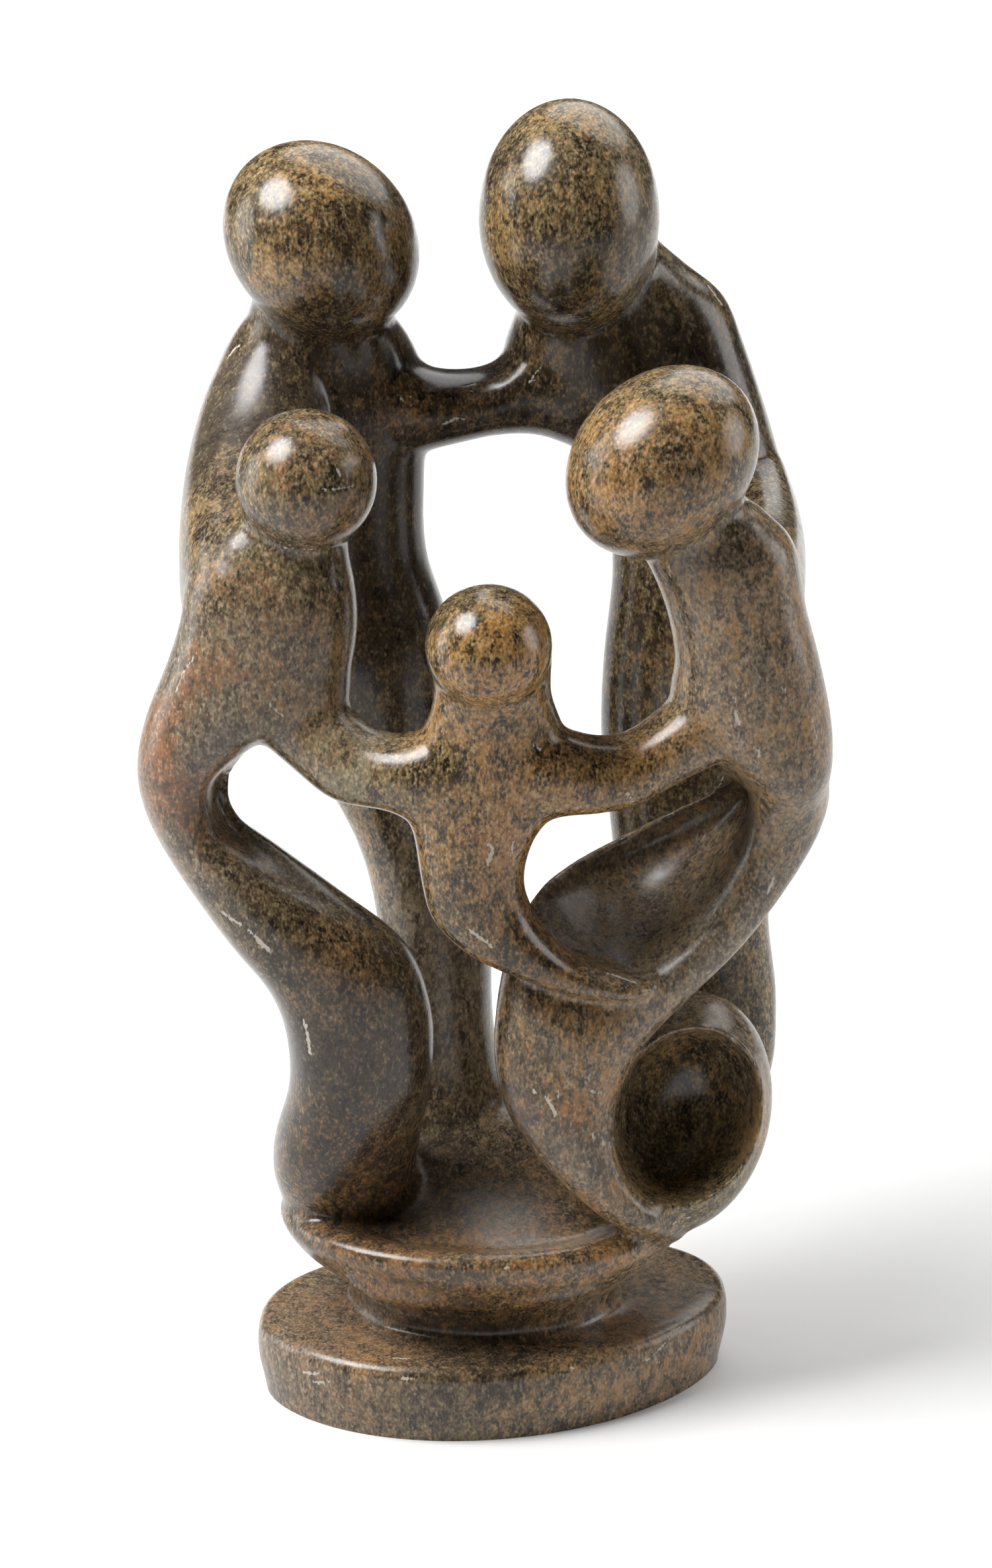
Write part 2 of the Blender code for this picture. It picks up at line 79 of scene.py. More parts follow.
# Each form is swept through sections, from one end to the other:
# left edge x, z; right edge x, z; left edge y, right edge y; half thickness; rim; hollow.
# The hollow, 0 to 1, scoops the front between the form's open edge and the rim, and the rim
# is a place across the section from -1 at the left edge to 1 at the right.
FORMS = {
    "left_parent_body": (
        (-19.8, 83.4, -8.2, 83.2, 8.5, 8.5, 4.8),
        (-22.0, 79.8, -6.2, 79.6, 10.0, 10.0, 5.4),
        (-23.7, 75.2, -5.4, 75.0, 10.0, 10.0, 5.8),
        (-25.0, 69.5, -5.7, 69.5, 10.0, 10.0, 5.8),
        (-24.6, 63.0, -5.6, 63.0, 10.0, 10.0, 5.6),
        (-22.4, 57.0, -3.9, 57.0, 10.0, 10.0, 5.4),
        (-18.8, 49.5, -3.1, 49.5, 10.0, 10.0, 5.2),
        (-13.9, 42.0, -2.4, 42.0, 10.0, 10.0, 5.0),
        (-11.1, 36.0, -1.2, 36.0, 9.5, 9.5, 5.0),
        (-9.7, 29.0, -0.3, 29.0, 9.0, 8.6, 5.0),
        (-9.1, 22.0, -0.1, 22.0, 8.4, 8.0, 5.0),
        (-9.6, 16.5, 0.8, 16.5, 7.6, 7.4, 5.2),
        (-12.0, 12.0, 3.0, 12.5, 6.0, 6.0, 5.4),
        (-12.0, 9.5, 3.0, 9.5, 4.5, 4.5, 5.0),
    ),
    "right_parent_body": (
        (2.4, 84.5, 13.2, 89.0, 9.6, 9.6, 4.6),
        (1.2, 81.5, 15.6, 86.8, 10.4, 10.4, 5.2),
        (0.6, 78.0, 18.8, 84.0, 11.0, 11.0, 5.6),
        (2.4, 74.6, 20.6, 79.7, 11.0, 11.0, 5.7),
        (7.0, 71.2, 22.6, 73.8, 11.0, 11.0, 5.6),
        (9.2, 67.0, 24.0, 68.6, 11.0, 11.0, 5.4),
        (9.8, 61.0, 24.9, 62.0, 10.2, 10.2, 5.2),
        (9.1, 53.4, 24.9, 53.4, 10.0, 10.0, 5.0),
        (9.0, 46.0, 24.5, 46.0, 10.0, 10.0, 4.9),
        (9.9, 38.0, 23.8, 38.0, 10.0, 10.0, 4.8),
        (10.6, 31.0, 23.4, 30.5, 9.5, 9.5, 4.7),
        (11.2, 23.0, 24.2, 23.0, 8.8, 8.8, 4.8),
        (10.6, 16.0, 23.4, 16.0, 7.4, 7.4, 5.0),
        (7.6, 11.0, 18.4, 11.0, 5.0, 5.0, 4.0),
    ),
    "parents_bridge": (
        (-13.0, 83.0, -13.0, 70.5, 9.5, 9.5, 4.4),
        (-8.4, 81.0, -8.4, 70.5, 9.5, 9.5, 4.2),
        (-5.6, 78.6, -5.6, 71.6, 9.5, 9.5, 4.0),
        (-2.6, 78.2, -2.6, 72.4, 9.5, 9.5, 3.8),
        (0.0, 78.8, 0.6, 73.0, 9.7, 9.7, 3.8),
        (2.6, 80.8, 4.0, 72.8, 10.0, 10.0, 4.2),
        (7.0, 82.0, 8.0, 71.0, 10.5, 10.5, 4.6),
    ),
    "left_child_body": (
        (-22.6, 68.4, -11.4, 68.0, -7.6, -8.3, 4.2),
        (-24.2, 65.6, -10.9, 65.6, -8.0, -8.5, 4.8),
        (-24.8, 62.4, -10.7, 62.4, -8.0, -8.5, 5.0),
        (-26.0, 58.8, -11.2, 58.8, -8.0, -8.5, 5.0),
        (-27.4, 55.4, -12.0, 55.4, -8.0, -8.5, 5.0),
        (-28.3, 52.2, -17.4, 53.6, -8.0, -8.0, 4.8, 0.9, 0.0),
        (-28.5, 48.8, -21.0, 49.6, -8.0, -7.0, 4.8, 0.4, 0.8),
        (-27.4, 45.2, -20.7, 45.6, -8.5, -6.5, 4.8, 0.2, 0.9),
        (-25.0, 40.9, -17.5, 43.0, -9.0, -6.5, 5.0, 0.1, 0.4),
        (-21.4, 35.6, -12.3, 38.9, -9.5, -6.5, 5.2, 0.2, 0.1),
        (-18.1, 31.2, -7.3, 34.4, -9.5, -6.0, 5.2, 0.4, 0.0),
        (-16.7, 27.0, -5.4, 28.8, -9.3, -5.5, 5.2, 0.5, 0.0),
        (-16.6, 22.0, -5.4, 22.8, -8.4, -4.8, 5.2, 0.5, 0.0),
        (-17.9, 17.0, -6.2, 17.6, -6.8, -3.2, 5.2, 0.5, 0.0),
        (-18.3, 12.9, -6.8, 12.6, -4.8, -1.6, 5.0, 0.5, 0.0),
        (-17.6, 9.2, -6.0, 8.5, -3.0, -0.5, 4.6, 0.5, 0.0),
    ),
    "left_arms": (
        (-15.0, 57.8, -19.6, 53.8, -8.0, -8.0, 4.2),
        (-12.2, 56.4, -16.4, 51.2, -9.2, -9.2, 4.0),
        (-10.2, 54.8, -12.8, 48.7, -10.6, -10.6, 3.7),
        (-7.9, 54.2, -8.6, 48.3, -12.0, -12.0, 3.5),
        (-5.6, 54.8, -6.2, 47.4, -12.6, -12.6, 3.5),
        (-3.0, 55.6, -3.0, 46.8, -13.0, -13.0, 3.5),
    ),
    "small_child_body": (
        (-5.1, 61.5, 4.6, 61.5, -13.4, -13.4, 4.4),
        (-4.7, 58.2, 4.5, 58.2, -13.0, -13.0, 3.9),
        (-5.4, 55.4, 5.4, 55.4, -12.8, -12.8, 3.7),
        (-6.9, 52.0, 6.2, 52.0, -13.0, -13.0, 3.6),
        (-7.0, 49.0, 5.2, 49.0, -13.0, -13.0, 3.6),
        (-6.3, 46.0, 3.2, 46.0, -13.0, -13.0, 3.6),
        (-5.8, 42.6, 2.4, 42.6, -13.0, -13.0, 3.6),
        (-5.0, 39.5, 3.1, 39.9, -13.0, -13.0, 3.5),
        (-2.6, 36.8, 4.5, 37.8, -13.0, -13.0, 3.3),
        (0.9, 34.8, 6.6, 35.7, -13.0, -12.6, 3.0),
        (5.0, 33.0, 9.7, 34.2, -12.4, -12.0, 2.8),
        (9.0, 32.0, 12.4, 33.4, -12.0, -11.4, 2.6),
    ),
    "right_arms": (
        (3.0, 56.0, 3.0, 47.2, -13.0, -13.0, 3.5),
        (5.6, 55.0, 5.3, 48.0, -12.8, -12.8, 3.5),
        (8.2, 54.1, 8.5, 48.1, -12.2, -12.2, 3.4),
        (10.5, 54.1, 11.7, 48.6, -11.2, -11.2, 3.6),
        (13.0, 55.6, 15.3, 50.4, -10.2, -10.2, 3.9),
        (15.6, 58.0, 19.0, 52.0, -9.4, -9.4, 4.3),
    ),
    "right_child_body": (
        (11.6, 68.6, 21.4, 71.6, -9.6, -9.6, 4.2),
        (12.8, 66.0, 23.5, 69.2, -9.2, -9.2, 4.9),
        (13.7, 63.2, 24.4, 64.6, -9.0, -9.0, 5.2),
        (14.3, 59.6, 25.7, 59.8, -9.0, -9.0, 5.4),
        (14.0, 56.6, 26.7, 55.2, -9.0, -9.0, 5.4, -0.5, 0.0),
        (16.0, 53.4, 27.0, 52.0, -8.6, -9.0, 5.4, -0.4, 0.0),
        (18.2, 50.6, 26.8, 49.4, -7.6, -9.0, 5.4, 0.0, 0.3),
        (18.2, 47.0, 25.9, 46.4, -4.0, -9.0, 5.2, 0.3, 1.0),
        (15.6, 44.2, 23.8, 42.4, -1.0, -9.8, 4.8, 0.7, 1.0),
        (11.3, 41.3, 19.6, 36.4, 0.0, -11.0, 4.4, 0.85, 1.0),
        (7.1, 39.6, 15.2, 31.5, -1.4, -11.6, 4.3, 0.85, 0.85),
        (3.9, 38.5, 12.7, 28.2, -4.6, -11.4, 4.4, 0.6, 0.4),
        (1.4, 35.2, 10.9, 24.8, -7.6, -11.0, 4.4, 0.2, 0.0),
        (0.3, 30.4, 10.0, 22.0, -8.4, -11.2, 4.2, 0.0, 0.0),
        (0.1, 25.6, 10.0, 19.5, -9.2, -11.8, 4.0, 0.0, 0.0),
        (1.2, 21.2, 10.7, 16.8, -9.8, -12.0, 3.8, 0.0, 0.0),
        (4.0, 17.0, 12.2, 14.4, -9.6, -11.6, 3.8, 0.0, 0.0),
        (7.6, 12.9, 15.0, 11.4, -8.6, -9.8, 4.0, 0.0, 0.0),
        (10.4, 9.6, 15.8, 8.8, -6.4, -6.6, 3.4, 0.0, 0.0),
    ),
    "left_side_link": (
        (-20.4, 82.0, -13.0, 82.0, 9.4, 9.4, 5.0),
        (-22.0, 79.6, -12.6, 79.6, 9.0, 9.0, 5.8),
        (-23.4, 76.8, -12.8, 76.8, 8.0, 8.0, 7.4),
        (-24.4, 73.8, -13.4, 73.8, 6.0, 6.0, 9.9),
        (-25.0, 70.8, -14.0, 70.8, 3.4, 3.4, 12.0),
        (-25.3, 67.0, -14.6, 67.0, 1.6, 1.6, 13.8),
        (-25.3, 63.0, -14.8, 63.0, 1.4, 1.4, 14.0),
    ),
    "right_side_link": (
        (16.6, 66.4, 24.6, 66.4, 10.5, 10.5, 6.0),
        (18.2, 65.8, 25.0, 65.4, 5.0, 5.0, 5.0),
        (18.6, 65.2, 25.0, 64.8, -1.0, -1.0, 4.6),
        (16.4, 64.6, 24.5, 64.2, -8.0, -8.0, 5.0),
    ),
    "dish_floor": (
        (-12.0, 5.9, 9.0, 5.9, -10.5, -10.5, 2.4),
        (-13.6, 6.4, 11.0, 6.4, -7.5, -7.5, 2.8),
        (-13.4, 7.2, 12.0, 7.2, -3.0, -3.0, 4.0),
        (-12.4, 9.6, 12.0, 9.6, 3.0, 3.0, 5.4),
        (-10.0, 10.4, 12.0, 10.4, 8.0, 8.0, 5.2),
    ),
}
OPEN_EDGE = {"left_child_body": 1, "right_child_body": -1}  # which edge a hollow opens to
SCOOP_DEPTH = 0.42  # of the half thickness
SCOOP_PEAK = 27 / 4  # turns the highest value of t * (1 - t)^2 into 1
LIP = 0.07  # of the scoop's width is left standing at its open edge
FOLD = 0.4  # how softly the scoop turns over at its rim, of the half thickness
CORNER = 2.25  # a section's corner: 2 is an ellipse, more is squarer
DOME = (0.98, 0.85, 0.62, 0.3)  # the rings that close a form's end, of the section's size
STEEP = 0.75  # a form that runs more than this towards y has its thickness along z

# Centre, half sizes, lean about y, turn about z
CURL = ((15.5, -4.2, 18.3), (7.5, 8.2, 10.6), 12, 0)  # the curl at the lower right
CUP = ((15.8, -10.0, 20.4), (5.95, 7.6, 7.4), 16, -8)  # the cup hollowed into the curl

RIM = (0.28, 0.34)  # the cup's rim is a roll of this radius at the right and at the left
RIM_STAND = 0.7  # how far the roll's middle stands off the cup's surface, of its radius
RIM_SEARCH = math.pi * 0.7  # the rim lies nearer than this to the cup's front, as an angle
HALVINGS = 24  # of that angle, to find the rim

# The dish and its foot: radius along x, radius along y, z
DISH_CENTRE = (-0.8, -2.0)
DISH = (
    (11.8, 8.8, -1.5),
    (11.3, 8.3, 0.8),
    (11.6, 8.6, 2.4),
    (13.4, 9.8, 4.0),
    (15.8, 11.4, 6.0),
    (17.3, 12.6, 8.3),
    (16.9, 12.3, 9.3),
    (15.4, 11.1, 9.6),
    (12.4, 8.9, 8.8),
    (8.0, 6.0, 7.6),
)


def catmull_rom(rows, steps):
    """The rows and what lies between them, on a smooth curve through every row."""
    padded = [rows[0], *rows, rows[-1]]
    made = []
    for i in range(1, len(padded) - 2):
        before, start, end, after = padded[i - 1 : i + 3]
        for step in range(steps):
            t = step / steps
            made.append(
                [
                    0.5 * (2 * b + (c - a) * t + (2 * a - 5 * b + 4 * c - d) * t * t
                           + (3 * b - a - 3 * c + d) * t**3)
                    for a, b, c, d in zip(before, start, end, after)
                ]
            )
    made.append(list(rows[-1]))
    return made


def place(x, y, z):
    return Vector((x, y, z)) * SHARE + Vector((0, 0, PLINTH_THICKNESS))


def skin(bm, rings):
    """Faces between rings of points, closed at both ends."""
    loops = [[bm.verts.new(p) for p in ring] for ring in rings]
    count = len(loops[0])
    for low, high in zip(loops, loops[1:]):
        for i in range(count):
            j = (i + 1) % count
            bm.faces.new((low[i], low[j], high[j], high[i]))
    bm.faces.new(list(reversed(loops[0])))
    bm.faces.new(loops[-1])


def signed_power(value, power):
    return math.copysign(abs(value) ** power, value)


def section(row, opens, around):
    """Points round one section, as (across, away) with across from -1 to 1."""
    deep, rim, hollow = row[6], row[7], row[8]
    reach = -deep * max(1 - abs(rim) ** CORNER, 0) ** (1 / CORNER)
    points = []
    for k in range(around):
        angle = 2 * math.pi * k / around
        across = signed_power(math.cos(angle), 2 / CORNER)
        away = deep * signed_power(math.sin(angle), 2 / CORNER)
        share = ((across - opens) / (rim - opens) - LIP) / (1 - LIP)
        if away < 0 and share > 0:
            bowl = SCOOP_PEAK * share * max(1 - share, 0) ** 2
            scooped = reach * share + SCOOP_DEPTH * deep * bowl
            fold = FOLD * deep * min(4 * share, 1)
            away += hollow * ((scooped - away + math.hypot(away - scooped, fold)) / 2)
        points.append((across, away))
    return points


def sweep(bm, rows, opens=-1, around=48, steps=5):
    """A body through the rows, with domed ends."""
    rows = catmull_rom([(*row, 0.0, 0.0)[:9] for row in rows], steps)
    lefts = [place(row[0], row[4], row[1]) for row in rows]
    rights = [place(row[2], row[5], row[3]) for row in rows]
    middles = [(a + b) / 2 for a, b in zip(lefts, rights)]
    rings = []
    for i, row in enumerate(rows):
        wide = (rights[i] - lefts[i]) / 2
        axis = wide.normalized()
        along = (middles[min(i + 1, len(rows) - 1)] - middles[max(i - 1, 0)]).normalized()
        deep = Vector((0, 1, 0)) if abs(along.y) < STEEP else Vector((0, 0, 1))
        deep = (deep - axis * deep.dot(axis)).normalized() * SHARE
        outline = section(row, opens, around)

        def ring(scale, shift):
            centre = middles[i] + shift * along
            return [centre + scale * (u * wide + v * deep) for u, v in outline]

        bulge = min(wide.length, row[6] * SHARE)
        if i == 0:
            rings += [ring(s, -bulge * math.sqrt(1 - s * s)) for s in reversed(DOME)]
        rings.append(ring(1, 0))
        if i == len(rows) - 1:
            rings += [ring(s, bulge * math.sqrt(1 - s * s)) for s in DOME]
    skin(bm, rings)


def ball_space(centre, halves, lean=0, turn=0):
    """Takes the unit ball to the ellipsoid."""
    leaned = Matrix.Rotation(math.radians(lean), 4, "Y")
    turned = Matrix.Rotation(math.radians(turn), 4, "Z") @ leaned
    size = Matrix.Diagonal((*(half * SHARE for half in halves), 1))
    return Matrix.Translation(place(*centre)) @ turned @ size


def ellipsoid(bm, *shape):
    space = ball_space(*shape)
    bmesh.ops.create_uvsphere(bm, u_segments=40, v_segments=24, radius=1, matrix=space)


def cup_rim(around=72):
    """Where the cup breaks through the curl, as (point, outward normal), found by halving."""
    cup_space, curl_space = ball_space(*CUP), ball_space(*CURL).inverted()
    rim = []
    for k in range(around):
        angle = 2 * math.pi * k / around
        spoke = Vector((math.cos(angle), 0, math.sin(angle)))
        near, far = 0.0, RIM_SEARCH
        for _ in range(HALVINGS):
            middle = (near + far) / 2
            spot = Vector((0, -math.cos(middle), 0)) + spoke * math.sin(middle)
            if (curl_space @ (cup_space @ spot)).length > 1:
                near = middle
            else:
                far = middle
        normal = (cup_space.inverted().transposed().to_3x3() @ spot).normalized()
        rim.append((cup_space @ spot, normal))
    return rim


def roll(bm, around=12):
    """The rolled rim of the cup, a closed tube along it."""
    rim = cup_rim()
    count = len(rim)
    rings = []
    for k, (point, normal) in enumerate(rim):
        along = (rim[(k + 1) % count][0] - rim[k - 1][0]).normalized()
        side = along.cross(normal).normalized()
        right = 0.5 + 0.5 * math.cos(2 * math.pi * k / count)
        radius = (RIM[0] * right + RIM[1] * (1 - right)) * SHARE
        middle = point + normal * radius * RIM_STAND
        ring = []
        for i in range(around):
            turn = 2 * math.pi * i / around
            spoke = math.cos(turn) * normal + math.sin(turn) * side
            ring.append(bm.verts.new(middle + radius * spoke))
        rings.append(ring)
    for low, high in zip(rings, rings[1:] + rings[:1]):
        for i in range(around):
            j = (i + 1) % around
            bm.faces.new((low[i], low[j], high[j], high[i]))


def dish(bm, around=48):
    rings = []
    for wide, deep, z in catmull_rom(DISH, 4):
        ring = []
        for k in range(around):
            angle = 2 * math.pi * k / around
            x = DISH_CENTRE[0] + wide * math.cos(angle)
            y = DISH_CENTRE[1] + deep * math.sin(angle)
            ring.append(place(x, y, z))
        rings.append(ring)
    skin(bm, rings)


def plinth_outline(inset, around=72):
    """The plinth seen from above: blunt at the back, drawn towards a point at the front."""
    front, back = PLINTH_CORNERS
    points = []
    for k in range(around):
        angle = 2 * math.pi * k / around
        x = (PLINTH_LENGTH / 2 - inset) * math.cos(angle)
        y = signed_power(math.sin(angle), front if math.sin(angle) < 0 else back)
        points.append((x, y * (PLINTH_DEPTH / 2 - inset) + PLINTH_SKEW * x + PLINTH_SHIFT))
    return points


def plinth(bm, steps=3):
    """The plinth with its rounded top edge. It reaches below the floor, where it is cut flat."""
    top = PLINTH_THICKNESS
    levels = [
        (PLINTH_TAPER, -PLINTH_EDGE),
        (PLINTH_TAPER, 0.0),
        (0.0, top / 2),
        (0.0, top - PLINTH_EDGE),
    ]
    for step in range(1, steps + 1):
        angle = step * math.pi / (2 * steps)
        inset = PLINTH_EDGE * (1 - math.cos(angle))
        levels.append((inset, top - PLINTH_EDGE * (1 - math.sin(angle))))
    skin(bm, [[Vector((x, y, z)) for x, y in plinth_outline(inset)] for inset, z in levels])


# The photograph's camera, sizes in millimetres and metres
IMAGE = (1500, 2372)
LENS = 100.0
SENSOR = 36.0  # along the image's long side
CAMERA_TILT = math.radians(20)
CAMERA_DISTANCE = 1.50
CAMERA_TARGET = Vector((0.0007, 0.0, 0.2210))
CAMERA_FORWARD = Vector((0, math.cos(CAMERA_TILT), -math.sin(CAMERA_TILT)))
CAMERA_UP = Vector((0, math.sin(CAMERA_TILT), math.cos(CAMERA_TILT)))
CAMERA_EYE = CAMERA_TARGET - CAMERA_FORWARD * CAMERA_DISTANCE
CAMERA_CLIP = (0.05, 50)

# The room is dark at the camera's side and white behind: y from, y to, strength from, to
WORLD = (-0.35, 0.45, 0.04, 1.30)
FLOOR_HALF = 6.0  # half the floor's length
PAPER = {"Base Color": (0.87, 0.87, 0.87, 1), "Roughness": 0.9, "Specular IOR Level": 0.1}
# name: position, target, size, power, spread in degrees
SOFTBOXES = {
    "key": ((-0.73, -0.26, 1.20), (0.0, 0.0, 0.22), (0.74, 0.74), 24, 180),
    "back": ((0.0, 3.0, 3.4), (0.0, 3.4, 0.0), (6.0, 3.0), 140, 75),
    "top": ((0.50, 0.95, 1.65), (0.0, 0.0, 0.22), (2.3, 1.9), 26, 180),
    "left": ((-1.7, 0.2, 0.5), (0.0, 0.0, 0.22), (1.0, 1.3), 11, 180),
    "right": ((1.7, 0.0, 0.7), (0.0, 0.0, 0.22), (1.0, 1.2), 11, 180),
}

# How the stone's tone changes over the group, and where shade is painted on: where, in the
# forms' own measure, how far it reaches, and how much ochre, green, rust, taupe and dark it
# adds there. The dark is painted shade, in hollows, under heads, between figures and on faces
# the lamps would light too brightly.
TONES = {
    # The heads' dark is painted shade, toning down their lit tops and sides
    "left_parent_head": ((-12.5, 0.0, 90.0), 8.0, (0.7, 0.2, 0.0, 0.0, 0.35)),
    "right_parent_head": ((4.0, 0.0, 91.0), 8.0, (0.7, 0.3, 0.0, 0.0, 0.3)),
    "right_parent_temple": ((12.5, 4.0, 92.0), 5.0, (0.0, 0.1, 0.0, 0.5, 0.0)),
    # The dark on the chests, the bridge, the right shoulder, the sides and the left link is painted
    # shade under the heads, between the figures and over a lit shoulder
    "left_parent_chest": ((-13.0, 4.0, 76.0), 9.0, (0.2, 0.0, 0.1, 0.0, 0.9)),
    "left_parent_back": ((-22.0, 6.0, 76.0), 6.0, (0.3, 0.2, 0.0, 0.4, 0.0)),
    "bridge": ((-3.0, 6.0, 75.0), 8.0, (0.1, 0.0, 0.1, 0.0, 0.9)),
    "right_parent_chest": ((8.0, 5.0, 78.0), 7.0, (0.3, 0.1, 0.0, 0.1, 0.5)),
    "right_parent_shoulder": ((17.0, 6.0, 78.0), 8.0, (0.0, 0.1, 0.0, 0.0, 1.0)),
    "left_parent_side": ((-7.0, 5.0, 60.0), 10.0, (0.1, 0.0, 0.1, 0.1, 0.8)),
    "left_link": ((-22.0, 1.0, 77.0), 7.0, (0.2, 0.4, 0.0, 0.8, 0.6)),
    "right_parent_side": ((14.0, 5.0, 50.0), 12.0, (0.5, 0.1, 0.0, 0.0, 0.6)),
    "left_parent_leg": ((-6.0, 4.0, 28.0), 11.0, (0.0, 0.2, 0.0, 1.0, 0.0)),
    "left_child_head": ((-15.5, -13.0, 74.5), 6.0, (0.5, 0.2, 0.7, 0.2, 0.0)),
    "left_child_chest": ((-19.0, -12.0, 63.0), 7.0, (0.5, 0.4, 0.4, 0.6, 0.0)),
    "left_child_side": ((-24.0, -12.0, 56.0), 7.0, (0.1, 0.2, 0.6, 0.8, 0.0)),
    "left_child_hip": ((-26.0, -12.0, 46.0), 8.0, (0.1, 0.1, 0.7, 0.8, 0.0)),
    # The dark on the left child's leg and shin is painted shade
    "left_child_leg": ((-13.0, -13.0, 30.0), 9.0, (0.4, 0.2, 0.3, 0.0, 0.9)),
    "left_child_shin": ((-13.0, -12.0, 16.0), 8.0, (0.5, 0.0, 0.4, 0.0, 0.9)),
    "left_arm": ((-11.0, -13.0, 52.0), 5.0, (0.2, 0.9, 0.0, 0.6, 0.0)),
    "small_child_head": ((-0.4, -19.0, 62.7), 6.0, (1.0, 0.0, 0.1, 0.0, 0.0)),
    "small_child_body": ((-0.5, -16.0, 49.0), 9.0, (1.0, 0.0, 0.3, 0.0, 0.0)),
    "right_arm": ((10.0, -13.0, 51.5), 5.0, (0.9, 0.1, 0.0, 0.0, 0.1)),
    "right_child_head": ((11.5, -17.0, 76.0), 8.0, (0.7, 0.0, 0.2, 0.2, 0.1)),
    "right_child_chest": ((19.0, -13.0, 64.0), 9.0, (0.3, 0.0, 0.1, 1.0, 0.0)),
    "right_child_side": ((24.0, -13.0, 54.0), 8.0, (0.2, 0.0, 0.1, 1.0, 0.0)),
    "right_child_hip": ((23.0, -13.0, 43.0), 7.0, (0.3, 0.2, 0.1, 0.8, 0.0)),
    # The trough's taupe is partly its grey stone and partly painted grey sheen that lightens the
    # gutter
    "trough": ((13.0, -6.0, 37.0), 9.0, (0.2, 0.2, 0.0, 1.6, 0.0)),
    "ribbon_top": ((8.0, -15.0, 26.0), 6.0, (0.5, 0.0, 0.1, 0.4, 0.0)),
    "ribbon": ((6.0, -15.0, 19.0), 7.0, (0.2, 0.0, 0.3, 1.0, 0.0)),
    # The dark here is painted shade: in the cup's hollow, on the small child's tip, in the trough's
    # pit and along the ribbon's edge
    "cup": ((16.0, -2.0, 23.0), 4.8, (0.6, 0.1, 0.0, 0.0, 0.7)),
    "small_child_tip": ((5.0, -15.5, 38.0), 6.0, (1.0, 0.0, 0.2, 0.0, 0.8)),
    "trough_pit_shade": ((19.5, -7.0, 46.5), 3.6, (0.0, 0.0, 0.0, 0.0, 1.0)),
    "ribbon_edge_shade": ((0.5, -11.0, 22.0), 4.5, (0.2, 0.0, 0.1, 0.0, 1.2)),
    "ring": ((18.0, -9.0, 28.5), 4.5, (0.0, 0.0, 0.1, 1.0, 0.0)),
    "ring_side": ((22.5, -8.5, 20.0), 5.0, (0.5, 0.0, 0.1, 0.9, 0.0)),
    # Painted shade under the dish and at its left by the leg
    "neck_shade": ((-1.0, -10.0, 1.5), 5.5, (0.2, 0.0, 0.0, 0.0, 1.5)),
    "dish_left_shade": ((-9.0, -6.0, 12.0), 5.0, (0.2, 0.0, 0.0, 0.0, 0.9)),
    "dish_floor": ((-1.0, -6.0, 12.0), 10.0, (0.3, 0.0, 0.2, 0.5, 0.2)),
    "dish_lip": ((-5.0, -14.0, 9.4), 6.0, (2.2, 0.0, 0.2, 0.4, 0.0)),
    "dish_lip_right": ((6.0, -13.0, 8.8), 5.0, (1.0, 0.0, 0.2, 0.2, 0.0)),
    "plinth_left": ((-15.0, -8.0, -3.0), 12.0, (0.1, 0.0, 0.4, 1.0, 0.0)),
    "plinth_right": ((14.0, -6.0, -3.0), 12.0, (0.4, 0.0, 0.3, 0.7, 0.1)),
}

